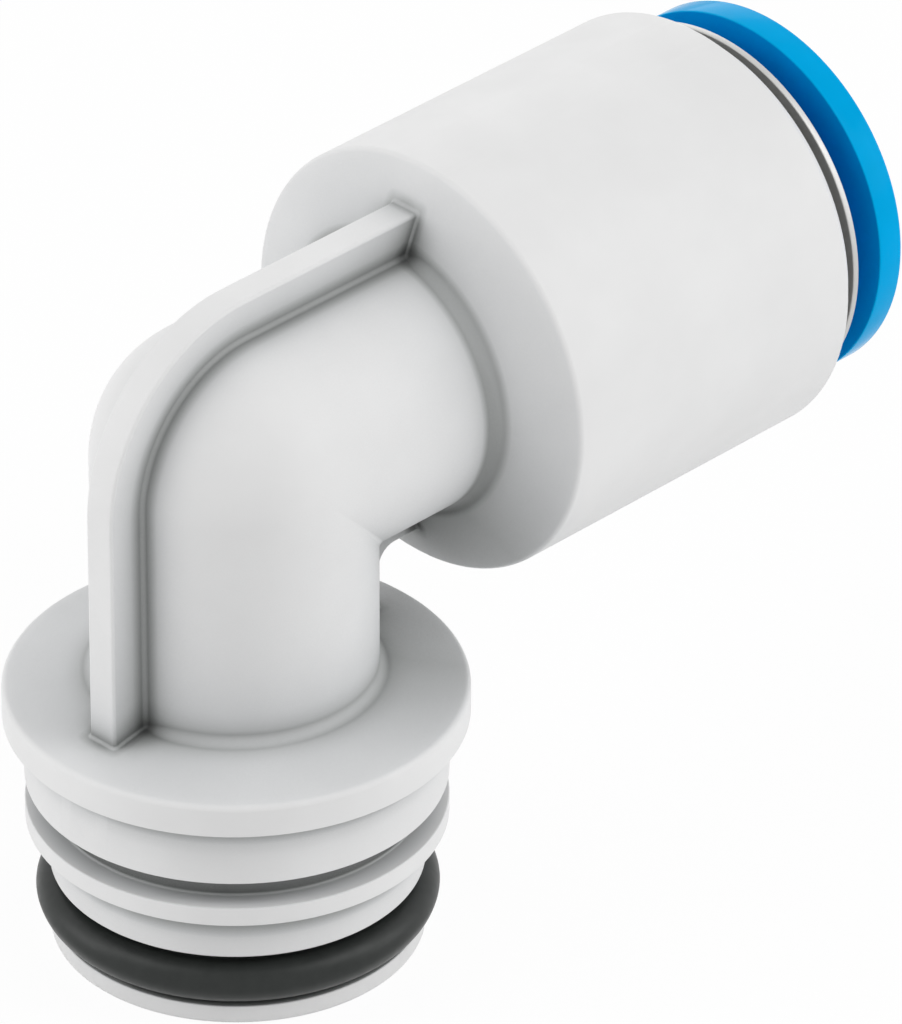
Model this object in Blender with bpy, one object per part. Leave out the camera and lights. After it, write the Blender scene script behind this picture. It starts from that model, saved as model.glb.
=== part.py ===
"""Elbow push-in fitting: a plug-in spigot below, a tube socket with a release ring to the side.

Metres, +Z up. The origin lies on the spigot's axis, level with the underside of the flange.
The spigot points down, and the mouth of the tube socket faces +X.
"""
import math
from collections import namedtuple

import bmesh
import bpy
from mathutils import Matrix, Vector

MM = 0.001

# Clearances
SEAT_GAP = 0.3 * MM
RUNNING_GAP = 0.3 * MM

# Spigot, from the flange downwards
FLANGE_RADIUS = 9.9 * MM
FLANGE_RIM_HEIGHT = 1.35 * MM
FLANGE_CROWN = 0.7 * MM
FLANGE_ROUND = 0.3 * MM
SPIGOT_RADIUS = 9.0 * MM
SHOULDER_LENGTH = 3.0 * MM
CLIP_GROOVE_WIDTH = 1.2 * MM
CLIP_GROOVE_DEPTH = 1.0 * MM
COLLAR_LENGTH = 0.85 * MM
NECK_RADIUS = 8.0 * MM
NECK_LENGTH = 2.3 * MM
LIP_LENGTH = 0.85 * MM
LIP_CHAMFER = 0.2 * MM
SPIGOT_BORE_RADIUS = 5.0 * MM
SPIGOT_BORE_TAPER = 2.0 * MM

# O-ring on the spigot
O_RING_SECTION_RADIUS = 1.0 * MM
O_RING_MEAN_RADIUS = 7.65 * MM

# Stem and its ribs
AXIS_HEIGHT = 12.37 * MM
FLOW_BORE_RADIUS = 4.5 * MM
STEM_WALL = 1.55 * MM
RIB_HEIGHT = 1.75 * MM
RIB_THICKNESS = 1.5 * MM
RIB_ROOT_ROUND = 0.45 * MM
RIB_EDGE_ROUND = 0.15 * MM
RIB_FOOT_ROUND = 0.3 * MM
RIB_CORNER_ROUND = 1.0 * MM
STEM_FOOT_ROUND = 0.6 * MM
FOOT_BLEND_POWER = 8
ELBOW_CREASE_ROUND = 0.3 * MM

# Tube and the socket that takes it
TUBE_RADIUS = 6.0 * MM
TUBE_CLEARANCE = 0.2 * MM
SOCKET_WALL = 1.18 * MM
SOCKET_BACK_REACH = 10.9 * MM
SOCKET_BACK_CROWN = 1.55 * MM
SOCKET_BACK_ROUND = 0.3 * MM
SOCKET_MOUTH_ROUND = 0.6 * MM
TUBE_STOP_REACH = 13.5 * MM
TUBE_POCKET_LENGTH = 3.5 * MM

# Seal and the ring behind it
SEAL_LENGTH = 2.8 * MM
SEAL_LIP_BITE = 0.2 * MM
SEAL_LIP_THICKNESS = 0.5 * MM
SEAL_GROOVE_DEPTH = 1.5 * MM
SUPPORT_LENGTH = 1.0 * MM

# Retaining sleeve
SLEEVE_THROAT_WALL = 1.1 * MM
SLEEVE_LEAD_LENGTH = 1.5 * MM
SLEEVE_CONE_DEPTH = 0.7 * MM
SLEEVE_THROAT_LENGTH = 2.97 * MM
SLEEVE_LIP_PROUD = 0.42 * MM
SLEEVE_LIP_THICKNESS = 0.33 * MM
SLEEVE_LIP_STANDOFF = 0.79 * MM
SLEEVE_BARB_HEIGHT = 0.15 * MM
SLEEVE_BARB_PITCH = 1.2 * MM
SLEEVE_BARB_COUNT = 3

# Release ring
RELEASE_TRAVEL = 1.1 * MM
RELEASE_REST_GAP = 0.32 * MM
RELEASE_COLLAR_RADIUS = 8.44 * MM
RELEASE_COLLAR_THICKNESS = 1.32 * MM
RELEASE_COLLAR_ROUND = 0.25 * MM
RELEASE_MOUTH_CHAMFER = 0.6 * MM
SKIRT_WALL = 0.5 * MM
SKIRT_BEAD_PROUD = 0.5 * MM
SKIRT_END_BAR = 0.8 * MM
SKIRT_SLOT_WIDTH = 0.5 * MM

# Clamping segments
SEGMENT_COUNT = 8
SEGMENT_LENGTH = 1.8 * MM
SEGMENT_WIDTH = 2.6 * MM
SEGMENT_BITE = 0.1 * MM
SEGMENT_TOOTH_DEPTH = 0.25 * MM
CAM_SLOPE = 0.25

# Mesh fineness
ROUND_STEPS = 48
STEM_QUARTER_STEPS = 8
FILLET_STEPS = 3
BEND_STEPS = 6
SECTION_STEPS = 10
SEGMENT_STEPS = 4
SHARP_ANGLE = math.radians(35)
MERGE_DISTANCE = 1e-7
CUT_MARGIN = 1.0 * MM

# Heights on the spigot
CLIP_GROOVE_TOP = -SHOULDER_LENGTH
CLIP_GROOVE_BOTTOM = CLIP_GROOVE_TOP - CLIP_GROOVE_WIDTH
CLIP_GROOVE_RADIUS = SPIGOT_RADIUS - CLIP_GROOVE_DEPTH
COLLAR_BOTTOM = CLIP_GROOVE_BOTTOM - COLLAR_LENGTH
SEAL_GROOVE_TOP = COLLAR_BOTTOM - NECK_LENGTH
O_RING_HEIGHT = SEAL_GROOVE_TOP - SEAT_GAP - O_RING_SECTION_RADIUS
SEAL_GROOVE_BOTTOM = O_RING_HEIGHT - O_RING_SECTION_RADIUS - SEAT_GAP
SEAL_GROOVE_RADIUS = O_RING_MEAN_RADIUS - O_RING_SECTION_RADIUS - SEAT_GAP
SPIGOT_BOTTOM = SEAL_GROOVE_BOTTOM - LIP_LENGTH

# Radii about the socket's axis, from the tube outwards
STEM_RADIUS = FLOW_BORE_RADIUS + STEM_WALL
RIB_REACH = STEM_RADIUS + RIB_HEIGHT
TUBE_POCKET_RADIUS = TUBE_RADIUS + TUBE_CLEARANCE
SKIRT_RADIUS = TUBE_POCKET_RADIUS + SKIRT_WALL
SLEEVE_THROAT_RADIUS = SKIRT_RADIUS + RUNNING_GAP
SLEEVE_BORE_RADIUS = SLEEVE_THROAT_RADIUS + SLEEVE_CONE_DEPTH
SLEEVE_RADIUS = SLEEVE_THROAT_RADIUS + SLEEVE_THROAT_WALL
CHAMBER_RADIUS = SLEEVE_RADIUS + SEAT_GAP
SOCKET_RADIUS = CHAMBER_RADIUS + SOCKET_WALL

# Stations along the socket's axis, from the tube stop to the mouth
SEAL_SHOULDER_X = TUBE_STOP_REACH + TUBE_POCKET_LENGTH
SEAL_START_X = SEAL_SHOULDER_X + SEAT_GAP
SEAL_END_X = SEAL_START_X + SEAL_LENGTH
SUPPORT_START_X = SEAL_END_X + SEAT_GAP
SUPPORT_END_X = SUPPORT_START_X + SUPPORT_LENGTH
SLEEVE_START_X = SUPPORT_END_X + SEAT_GAP
CONE_START_X = SLEEVE_START_X + SLEEVE_LEAD_LENGTH
CONE_END_X = CONE_START_X + SLEEVE_CONE_DEPTH / CAM_SLOPE
SLEEVE_END_X = CONE_END_X + SLEEVE_THROAT_LENGTH
SLEEVE_LIP_X = SLEEVE_END_X - SLEEVE_LIP_THICKNESS
MOUTH_X = SLEEVE_LIP_X - SLEEVE_LIP_STANDOFF
COLLAR_BACK_X = SLEEVE_END_X + RELEASE_TRAVEL + RELEASE_REST_GAP
SKIRT_END_X = SUPPORT_END_X + RUNNING_GAP + RELEASE_TRAVEL
WINDOW_START_X = SKIRT_END_X + SKIRT_END_BAR
SEGMENT_START_X = WINDOW_START_X + RUNNING_GAP
SEGMENT_END_X = SEGMENT_START_X + SEGMENT_LENGTH
WINDOW_END_X = SEGMENT_END_X + RUNNING_GAP

Column = namedtuple("Column", "u y normal_u normal_y foot angle")


def clear_scene():
    for item in list(bpy.data.objects):
        bpy.data.objects.remove(item, do_unlink=True)


def make_material(name, colour, roughness, metallic=0.0):
    material = bpy.data.materials.new(name)
    material.use_nodes = True
    shader = material.node_tree.nodes["Principled BSDF"]
    shader.inputs["Base Color"].default_value = (*colour, 1.0)
    shader.inputs["Roughness"].default_value = roughness
    shader.inputs["Metallic"].default_value = metallic
    return material


def add_object(name, mesh, material=None, parent=None, location=(0, 0, 0), turn=0.0):
    item = bpy.data.objects.new(name, mesh)
    bpy.context.scene.collection.objects.link(item)
    if material:
        mesh.materials.append(material)
    item.parent = parent
    item.location = location
    item.rotation_euler = (turn, 0, 0)
    return item


def finish_mesh(name, bm):
    """Merge, turn the faces outwards and shade the round faces smooth."""
    bmesh.ops.remove_doubles(bm, verts=bm.verts, dist=MERGE_DISTANCE)
    bmesh.ops.recalc_face_normals(bm, faces=bm.faces)
    if bm.calc_volume(signed=True) < 0:
        bmesh.ops.reverse_faces(bm, faces=bm.faces)
    mesh = bpy.data.meshes.new(name)
    bm.to_mesh(mesh)
    bm.free()
    mesh.shade_smooth()
    mesh.set_sharp_from_angle(angle=SHARP_ANGLE)
    return mesh


def add_loops(bm, loops, closed):
    """Join neighbouring loops of points with quads; an open stack gets a cap at each end."""
    rings = [[bm.verts.new(point) for point in loop] for loop in loops]
    count = len(rings[0])
    pairs = list(zip(rings, rings[1:]))
    if closed:
        pairs.append((rings[-1], rings[0]))
    for ring, following in pairs:
        for k in range(count):
            after = (k + 1) % count
            bm.faces.new((ring[k], ring[after], following[after], following[k]))
    if not closed:
        bm.faces.new(rings[0])
        bm.faces.new(rings[-1])


def turned_mesh(name, outline):
    """Turn a closed outline of (x, radius) points about the X axis."""
    bm = bmesh.new()
    loops = []
    for step in range(ROUND_STEPS):
        angle = math.tau * step / ROUND_STEPS
        loops.append([(x, r * math.cos(angle), r * math.sin(angle)) for x, r in outline])
    add_loops(bm, loops, closed=True)
    return finish_mesh(name, bm)


def arc(centre, radius, start, end, steps=FILLET_STEPS):
    """Points on an arc, angles in degrees, both ends included."""
    points = []
    for step in range(steps + 1):
        angle = math.radians(start + (end - start) * step / steps)
        points.append((centre[0] + radius * math.cos(angle), centre[1] + radius * math.sin(angle)))
    return points


def stem_quarter():
    """Points and outward normals of a quarter of the ribbed stem's section, from its side to the rib."""
    half = RIB_THICKNESS / 2
    root_y = half + RIB_ROOT_ROUND
    root_u = math.sqrt((STEM_RADIUS + RIB_ROOT_ROUND) ** 2 - root_y ** 2)
    root_angle = math.degrees(math.atan2(root_y, root_u))
    quarter = []
    for step in range(STEM_QUARTER_STEPS + 1):
        share = step / STEM_QUARTER_STEPS
        angle = math.radians(90 + (root_angle - 90) * share)
        normal = (math.cos(angle), math.sin(angle))
        foot = STEM_FOOT_ROUND + (RIB_FOOT_ROUND - STEM_FOOT_ROUND) * share ** FOOT_BLEND_POWER
        quarter.append((STEM_RADIUS * normal[0], STEM_RADIUS * normal[1], *normal, foot))
    for u, y in arc((root_u, root_y), RIB_ROOT_ROUND, 180 + root_angle, 270)[1:]:
        normal = ((root_u - u) / RIB_ROOT_ROUND, (root_y - y) / RIB_ROOT_ROUND)
        quarter.append((u, y, *normal, RIB_FOOT_ROUND))
    edge = (RIB_REACH - RIB_EDGE_ROUND, half - RIB_EDGE_ROUND)
    for u, y in arc(edge, RIB_EDGE_ROUND, 90, 0, steps=2):
        normal = ((u - edge[0]) / RIB_EDGE_ROUND, (y - edge[1]) / RIB_EDGE_ROUND)
        quarter.append((u, y, *normal, RIB_FOOT_ROUND))
    quarter.append((RIB_REACH, 0.0, 1.0, 0.0, RIB_FOOT_ROUND))
    return quarter


def stem_columns():
    """The section all the way round, starting at the inner rib; u points from the bend inwards."""
    quarter = stem_quarter()
    back = quarter[::-1]
    turns = ((back, 1, 1), (quarter[1:], -1, 1), (back[1:], -1, -1), (quarter[1:-1], 1, -1))
    columns = []
    for points, side_u, side_y in turns:
        for u, y, normal_u, normal_y, foot in points:
            u, y, normal_u, normal_y = u * side_u, y * side_y, normal_u * side_u, normal_y * side_y
            angle = math.atan2(y + normal_y * foot, u + normal_u * foot)
            columns.append(Column(u, y, normal_u, normal_y, foot, angle))
    return columns


def flange_top(radius):
    """Height of the flange's crowned top at a radius."""
    share = (FLANGE_RADIUS - radius) / (FLANGE_RADIUS - STEM_RADIUS)
    return FLANGE_RIM_HEIGHT + FLANGE_CROWN * share


def socket_back(radius):
    """Place along the axis of the socket's crowned back at a radius."""
    share = (SOCKET_RADIUS - radius) / (SOCKET_RADIUS - STEM_RADIUS)
    return SOCKET_BACK_REACH - SOCKET_BACK_CROWN * share


def upright(u, y, z):
    return Vector((u, y, z))


def level(u, y, x):
    return Vector((x, y, AXIS_HEIGHT - u))


def around(place, angle, outline):
    """One column's points on a turned outline of (radius, station)."""
    return [place(r * math.cos(angle), r * math.sin(angle), station) for r, station in outline]


def spigot_outline():
    low = SPIGOT_BOTTOM
    rim = FLANGE_RADIUS - FLANGE_ROUND
    points = [(NECK_RADIUS - LIP_CHAMFER, low), (NECK_RADIUS, low + LIP_CHAMFER)]
    points += [(NECK_RADIUS, SEAL_GROOVE_BOTTOM), (SEAL_GROOVE_RADIUS, SEAL_GROOVE_BOTTOM)]
    points += [(SEAL_GROOVE_RADIUS, SEAL_GROOVE_TOP), (NECK_RADIUS, SEAL_GROOVE_TOP)]
    points += [(NECK_RADIUS, COLLAR_BOTTOM), (SPIGOT_RADIUS, COLLAR_BOTTOM)]
    points += [(SPIGOT_RADIUS, CLIP_GROOVE_BOTTOM), (CLIP_GROOVE_RADIUS, CLIP_GROOVE_BOTTOM)]
    points += [(CLIP_GROOVE_RADIUS, CLIP_GROOVE_TOP), (SPIGOT_RADIUS, CLIP_GROOVE_TOP)]
    points += [(SPIGOT_RADIUS, 0.0), (FLANGE_RADIUS, 0.0)]
    points += arc((rim, flange_top(rim) - FLANGE_ROUND), FLANGE_ROUND, 0, 90)
    return points


def socket_outline():
    """Outside of the socket from its back rim to the mouth, then inside to the tube stop."""
    rim = SOCKET_RADIUS - SOCKET_BACK_ROUND
    edge = SOCKET_RADIUS - SOCKET_MOUTH_ROUND
    points = arc((rim, socket_back(rim) + SOCKET_BACK_ROUND), SOCKET_BACK_ROUND, -90, 0)
    points += arc((edge, MOUTH_X - SOCKET_MOUTH_ROUND), SOCKET_MOUTH_ROUND, 0, 90)
    points += [(CHAMBER_RADIUS, MOUTH_X), (CHAMBER_RADIUS, SEAL_SHOULDER_X)]
    points += [(TUBE_POCKET_RADIUS, SEAL_SHOULDER_X), (TUBE_POCKET_RADIUS, TUBE_STOP_REACH)]
    points += [(FLOW_BORE_RADIUS, TUBE_STOP_REACH)]
    return points


def foot_points(column, place, surface, direction):
    """Fillet of one column from a crowned face onto the stem."""
    points = []
    for step in range(FILLET_STEPS + 1):
        angle = math.radians(90) * step / FILLET_STEPS
        out = column.foot * (1 - math.sin(angle))
        rise = column.foot * (1 - math.cos(angle))
        u = column.u + column.normal_u * out
        y = column.y + column.normal_y * out
        points.append(place(u, y, surface(math.hypot(u, y)) + direction * rise))
    return points


def bend_points(u, y, inner_round):
    """One column's way round the corner: on a ball outside the axis, in a rounded mitre inside it."""
    points = []
    for step in range(BEND_STEPS + 1):
        angle = math.radians(90) * step / BEND_STEPS
        if u <= 0:
            x = u * math.cos(angle)
            z = AXIS_HEIGHT - u * math.sin(angle)
        else:
            x = u + inner_round * (1 - math.cos(angle))
            z = AXIS_HEIGHT - u - inner_round * (1 - math.sin(angle))
        points.append(Vector((x, y, z)))
    return points


def crease_round(u):
    """Rounding of the inner corner: none at the side, slight on the stem, larger along the rib."""
    if u <= STEM_RADIUS:
        return ELBOW_CREASE_ROUND * u / STEM_RADIUS
    share = (u - STEM_RADIUS) / (RIB_REACH - STEM_RADIUS)
    return ELBOW_CREASE_ROUND + (RIB_CORNER_ROUND - ELBOW_CREASE_ROUND) * share


def body_column(column):
    """All the points of one column: up the outside, along the socket, and back through the bore."""
    bore_u = FLOW_BORE_RADIUS * math.cos(column.angle)
    bore_y = FLOW_BORE_RADIUS * math.sin(column.angle)
    points = around(upright, column.angle, spigot_outline())
    points += foot_points(column, upright, flange_top, 1)
    points += bend_points(column.u, column.y, crease_round(column.u))
    points += foot_points(column, level, socket_back, -1)[::-1]
    points += around(level, column.angle, socket_outline())
    points += bend_points(bore_u, bore_y, crease_round(bore_u))[::-1]
    bore = [(FLOW_BORE_RADIUS, 0.0), (SPIGOT_BORE_RADIUS, -SPIGOT_BORE_TAPER)]
    bore += [(SPIGOT_BORE_RADIUS, SPIGOT_BOTTOM)]
    points += around(upright, column.angle, bore)
    return points


def make_elbow_body(material):
    bm = bmesh.new()
    add_loops(bm, [body_column(column) for column in stem_columns()], closed=True)
    return add_object("elbow_body", finish_mesh("elbow_body", bm), material)


def make_spigot_o_ring(material):
    bm = bmesh.new()
    section = arc((O_RING_MEAN_RADIUS, O_RING_HEIGHT), O_RING_SECTION_RADIUS, 0, 360, SECTION_STEPS)[:-1]
    loops = []
    for step in range(ROUND_STEPS):
        loops.append(around(upright, math.tau * step / ROUND_STEPS, section))
    add_loops(bm, loops, closed=True)
    return add_object("spigot_o_ring", finish_mesh("spigot_o_ring", bm), material)


def make_tube_seal_ring(material, axis):
    """Cupped seal whose inner lip is a little smaller than the tube."""
    lip = TUBE_RADIUS - SEAL_LIP_BITE
    outer = SLEEVE_RADIUS
    groove_x = SEAL_START_X + SEAL_GROOVE_DEPTH
    outline = [(SEAL_START_X, outer), (SEAL_END_X, outer), (SEAL_END_X, TUBE_POCKET_RADIUS)]
    outline += [(groove_x, TUBE_POCKET_RADIUS), (SEAL_START_X + SEAL_LIP_THICKNESS, lip)]
    outline += [(SEAL_START_X, lip + SEAL_LIP_THICKNESS)]
    outline += [(groove_x, (TUBE_POCKET_RADIUS + outer) / 2), (SEAL_START_X, outer - SEAL_LIP_THICKNESS)]
    return add_object("tube_seal_ring", turned_mesh("tube_seal_ring", outline), material, axis)


def make_seal_support_ring(material, axis):
    outline = [(SUPPORT_START_X, SLEEVE_RADIUS), (SUPPORT_END_X, SLEEVE_RADIUS)]
    outline += [(SUPPORT_END_X, TUBE_POCKET_RADIUS), (SUPPORT_START_X, TUBE_POCKET_RADIUS)]
    return add_object("seal_support_ring", turned_mesh("seal_support_ring", outline), material, axis)


def make_retaining_sleeve(material, axis):
    """Barbed sleeve with a thin lip outside the mouth and a cone inside that closes the clamp."""
    valley = SLEEVE_RADIUS - SLEEVE_BARB_HEIGHT
    lip = SLEEVE_RADIUS + SLEEVE_LIP_PROUD
    outline = [(SLEEVE_START_X, valley)]
    for barb in range(SLEEVE_BARB_COUNT):
        crest_x = SLEEVE_START_X + SLEEVE_BARB_PITCH * (barb + 1)
        outline += [(crest_x, SLEEVE_RADIUS), (crest_x, valley)]
    outline += [(SLEEVE_LIP_X, valley), (SLEEVE_LIP_X, lip), (SLEEVE_END_X, lip)]
    outline += [(SLEEVE_END_X, SLEEVE_THROAT_RADIUS), (CONE_END_X, SLEEVE_THROAT_RADIUS)]
    outline += [(CONE_START_X, SLEEVE_BORE_RADIUS), (SLEEVE_START_X, SLEEVE_BORE_RADIUS)]
    return add_object("retaining_sleeve", turned_mesh("retaining_sleeve", outline), material, axis)


def segment_angle(index):
    return math.tau * (index + 0.5) / SEGMENT_COUNT


def add_radial_box(bm, angle, start_x, end_x, width):
    """Box that cuts through the skirt's wall, centred on a radial direction."""
    low = TUBE_POCKET_RADIUS - CUT_MARGIN
    high = SKIRT_RADIUS + SKIRT_BEAD_PROUD + CUT_MARGIN
    turn = Matrix.Rotation(angle, 3, "X")
    loops = []
    for x in (start_x, end_x):
        corners = ((-width / 2, low), (width / 2, low), (width / 2, high), (-width / 2, high))
        loops.append([turn @ Vector((x, y, z)) for y, z in corners])
    add_loops(bm, loops, closed=False)


def make_skirt_cutter(parent):
    """Windows for the segments, and slots that let the skirt spring in between them."""
    bm = bmesh.new()
    window = SEGMENT_WIDTH + 2 * RUNNING_GAP
    slot_end = WINDOW_END_X + SKIRT_END_BAR
    for index in range(SEGMENT_COUNT):
        angle = segment_angle(index)
        add_radial_box(bm, angle, WINDOW_START_X - COLLAR_BACK_X, WINDOW_END_X - COLLAR_BACK_X, window)
        between = angle + math.pi / SEGMENT_COUNT
        add_radial_box(bm, between, SKIRT_END_X - CUT_MARGIN - COLLAR_BACK_X, slot_end - COLLAR_BACK_X,
                       SKIRT_SLOT_WIDTH)
    cutter = add_object("skirt_cutter", finish_mesh("skirt_cutter", bm), parent=parent)
    cutter.hide_render = True
    cutter.display_type = "WIRE"
    return cutter


def make_release_ring(material, axis):
    """Collar outside the mouth, and a skirt in the sleeve; its origin is the back of the collar."""
    collar = RELEASE_COLLAR_RADIUS - RELEASE_COLLAR_ROUND
    bead = SKIRT_RADIUS + SKIRT_BEAD_PROUD
    thick = RELEASE_COLLAR_THICKNESS
    skirt_end = SKIRT_END_X - COLLAR_BACK_X
    bead_end = WINDOW_START_X - COLLAR_BACK_X
    outline = [(skirt_end, TUBE_POCKET_RADIUS), (skirt_end, SKIRT_RADIUS)]
    outline += [(skirt_end + SKIRT_BEAD_PROUD, bead), (bead_end, bead)]
    outline += [(bead_end, SKIRT_RADIUS), (0.0, SKIRT_RADIUS)]
    outline += arc((RELEASE_COLLAR_ROUND, collar), RELEASE_COLLAR_ROUND, 180, 90)
    outline += arc((thick - RELEASE_COLLAR_ROUND, collar), RELEASE_COLLAR_ROUND, 90, 0)
    outline += [(thick, TUBE_POCKET_RADIUS + RELEASE_MOUTH_CHAMFER)]
    outline += [(thick - RELEASE_MOUTH_CHAMFER, TUBE_POCKET_RADIUS)]
    mesh = turned_mesh("release_ring", outline)
    ring = add_object("release_ring", mesh, material, axis, (COLLAR_BACK_X, 0, 0))
    cut = ring.modifiers.new("windows_and_slots", "BOOLEAN")
    cut.operation = "DIFFERENCE"
    cut.solver = "EXACT"
    cut.object = make_skirt_cutter(ring)
    return ring


def segment_section():
    """Outline of a segment along the socket: a slope that rides the cone, and biting teeth below."""
    def under_cone(x):
        return SLEEVE_THROAT_RADIUS + CAM_SLOPE * (CONE_END_X - x) - RUNNING_GAP

    tip = TUBE_RADIUS - SEGMENT_BITE
    valley = tip + SEGMENT_TOOTH_DEPTH
    middle = (SEGMENT_START_X + SEGMENT_END_X) / 2
    points = [(SEGMENT_START_X, under_cone(SEGMENT_START_X)), (SEGMENT_END_X, under_cone(SEGMENT_END_X))]
    points += [(SEGMENT_END_X, valley), (middle, tip), (middle, valley), (SEGMENT_START_X, tip)]
    return points


def make_clamping_segment(index, material, ring):
    """One segment, curved to the tube; its own Z axis is the line that it slides on."""
    bm = bmesh.new()
    loops = []
    for step in range(SEGMENT_STEPS + 1):
        y = SEGMENT_WIDTH * (step / SEGMENT_STEPS - 0.5)
        loops.append([(x - SEGMENT_START_X, y, math.sqrt(r * r - y * y)) for x, r in segment_section()])
    add_loops(bm, loops, closed=False)
    name = f"clamping_segment_{index + 1}"
    place = (SEGMENT_START_X - COLLAR_BACK_X, 0, 0)
    return add_object(name, finish_mesh(name, bm), material, ring, place, segment_angle(index))


def main():
    clear_scene()
    axis = add_object("socket_axis", None, location=(0, 0, AXIS_HEIGHT))
    make_elbow_body(make_material("white_plastic", (0.80, 0.81, 0.82), 0.45))
    make_spigot_o_ring(make_material("spigot_rubber", (0.03, 0.03, 0.03), 0.55))
    make_tube_seal_ring(make_material("seal_rubber", (0.02, 0.02, 0.02), 0.6), axis)
    make_seal_support_ring(make_material("support_plastic", (0.75, 0.75, 0.73), 0.5), axis)
    make_retaining_sleeve(make_material("plated_brass", (0.70, 0.68, 0.64), 0.25, 1.0), axis)
    ring = make_release_ring(make_material("blue_plastic", (0.0, 0.37, 0.75), 0.35), axis)
    for index in range(SEGMENT_COUNT):
        steel = make_material(f"segment_steel_{index + 1}", (0.62, 0.62, 0.63), 0.3, 1.0)
        make_clamping_segment(index, steel, ring)


main()
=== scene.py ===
"""Looks of the elbow push-in fitting: fine surfaces, materials, studio light and camera.

Metres, +Z up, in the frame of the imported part: the origin lies on the spigot's axis, level with
the underside of the flange. The spigot points down, and the mouth of the tube socket faces +X.
"""
import math
from collections import namedtuple

import bmesh
import bpy
from mathutils import Matrix, Vector


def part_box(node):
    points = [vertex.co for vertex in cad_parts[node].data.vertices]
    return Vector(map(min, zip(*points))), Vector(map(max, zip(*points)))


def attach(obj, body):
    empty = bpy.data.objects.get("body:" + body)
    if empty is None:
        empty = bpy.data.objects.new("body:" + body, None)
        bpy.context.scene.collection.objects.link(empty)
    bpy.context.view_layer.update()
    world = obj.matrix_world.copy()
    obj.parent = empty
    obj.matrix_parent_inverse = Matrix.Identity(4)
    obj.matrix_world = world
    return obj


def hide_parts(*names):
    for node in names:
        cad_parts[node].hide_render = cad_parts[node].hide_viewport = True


MM = 0.001

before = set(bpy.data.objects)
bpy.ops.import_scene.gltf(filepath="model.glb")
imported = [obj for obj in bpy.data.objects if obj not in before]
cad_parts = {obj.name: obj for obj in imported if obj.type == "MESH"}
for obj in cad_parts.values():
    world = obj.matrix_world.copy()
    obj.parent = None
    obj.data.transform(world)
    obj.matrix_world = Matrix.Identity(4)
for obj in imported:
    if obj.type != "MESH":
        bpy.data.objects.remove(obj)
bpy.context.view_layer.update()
BODY_LOW, BODY_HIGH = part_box("elbow_body")
O_RING_LOW, O_RING_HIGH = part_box("spigot_o_ring")
SEAL_LOW, SEAL_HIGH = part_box("tube_seal_ring")
SUPPORT_LOW, SUPPORT_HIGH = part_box("seal_support_ring")
SLEEVE_LOW, SLEEVE_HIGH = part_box("retaining_sleeve")
RING_LOW, RING_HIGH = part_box("release_ring")
SEGMENT_COUNT = sum(name.startswith("clamping_segment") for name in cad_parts)

# Rounding that moulding, turning and stamping leave on edges and in corners
MOULD_EDGE = 0.06 * MM
MOULD_CORNER = 0.08 * MM
TURNED_EDGE = 0.06 * MM
STAMPED_EDGE = 0.05 * MM
SEAL_EDGE = 0.1 * MM

# Spigot, from the flange downwards; the flange's rim hangs a little below the frame's zero
FLANGE_RADIUS = BODY_HIGH.y
FLANGE_RIM_HEIGHT = 1.35 * MM
FLANGE_UNDERSIDE = -0.12 * MM
FLANGE_CROWN = 0.7 * MM
FLANGE_ROUND = 0.3 * MM
SPIGOT_RADIUS = 9.0 * MM
SHOULDER_LENGTH = 3.05 * MM
CLIP_GROOVE_WIDTH = 1.21 * MM
CLIP_GROOVE_RADIUS = 8.0 * MM
COLLAR_LENGTH = 0.9 * MM
NECK_RADIUS = 8.0 * MM
SEAL_GROOVE_GAP = 0.3 * MM
LIP_ROUND = 0.2 * MM
SPIGOT_BORE_RADIUS = 5.0 * MM
SPIGOT_BORE_TAPER = 2.0 * MM
SPIGOT_BORE_ROUND = 0.3 * MM
SPIGOT_BOTTOM = BODY_LOW.z

# O-ring on the spigot, which lies a little low and tight in its groove
O_RING_SECTION_RADIUS = (O_RING_HIGH.z - O_RING_LOW.z) / 2
O_RING_SAG = 0.1 * MM
O_RING_SQUEEZE = 0.05 * MM
O_RING_HEIGHT = (O_RING_HIGH.z + O_RING_LOW.z) / 2
O_RING_MEAN_RADIUS = O_RING_HIGH.x - O_RING_SECTION_RADIUS
O_RING_FLASH = 0.02 * MM
O_RING_FLASH_POWER = 48

# Stem and its ribs
AXIS_HEIGHT = (SLEEVE_LOW.z + SLEEVE_HIGH.z) / 2
FLOW_BORE_RADIUS = 4.5 * MM
STEM_RADIUS = 6.05 * MM
RIB_REACH = 7.8 * MM
RIB_THICKNESS = 1.5 * MM
RIB_ROOT_ROUND = 0.22 * MM
RIB_EDGE_ROUND = 0.15 * MM
RIB_FOOT_ROUND = 0.14 * MM
RIB_CORNER_ROUND = 1.0 * MM
STEM_FOOT_ROUND = 0.4 * MM
FOOT_BLEND_POWER = 16
ELBOW_CREASE_ROUND = 0.3 * MM

# Socket
SOCKET_RADIUS = BODY_HIGH.z - AXIS_HEIGHT
SOCKET_BACK_REACH = 10.9 * MM
SOCKET_BACK_CROWN = 1.55 * MM
SOCKET_BACK_ROUND = 0.3 * MM
SOCKET_MOUTH_CHAMFER_LENGTH = 0.7 * MM
SOCKET_MOUTH_CHAMFER_DEPTH = 0.65 * MM
MOUTH_X = BODY_HIGH.x
CHAMBER_RADIUS = 8.4 * MM
TUBE_RADIUS = 6.0 * MM
TUBE_POCKET_RADIUS = 6.2 * MM
TUBE_STOP_X = 13.5 * MM
SEAL_SHOULDER_X = 17.0 * MM

# Seal in the socket
SEAL_RADIUS = SEAL_HIGH.y
SEAL_LIP_BITE = 0.2 * MM
SEAL_LIP_THICKNESS = 0.5 * MM
SEAL_GROOVE_DEPTH = 1.5 * MM

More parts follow.
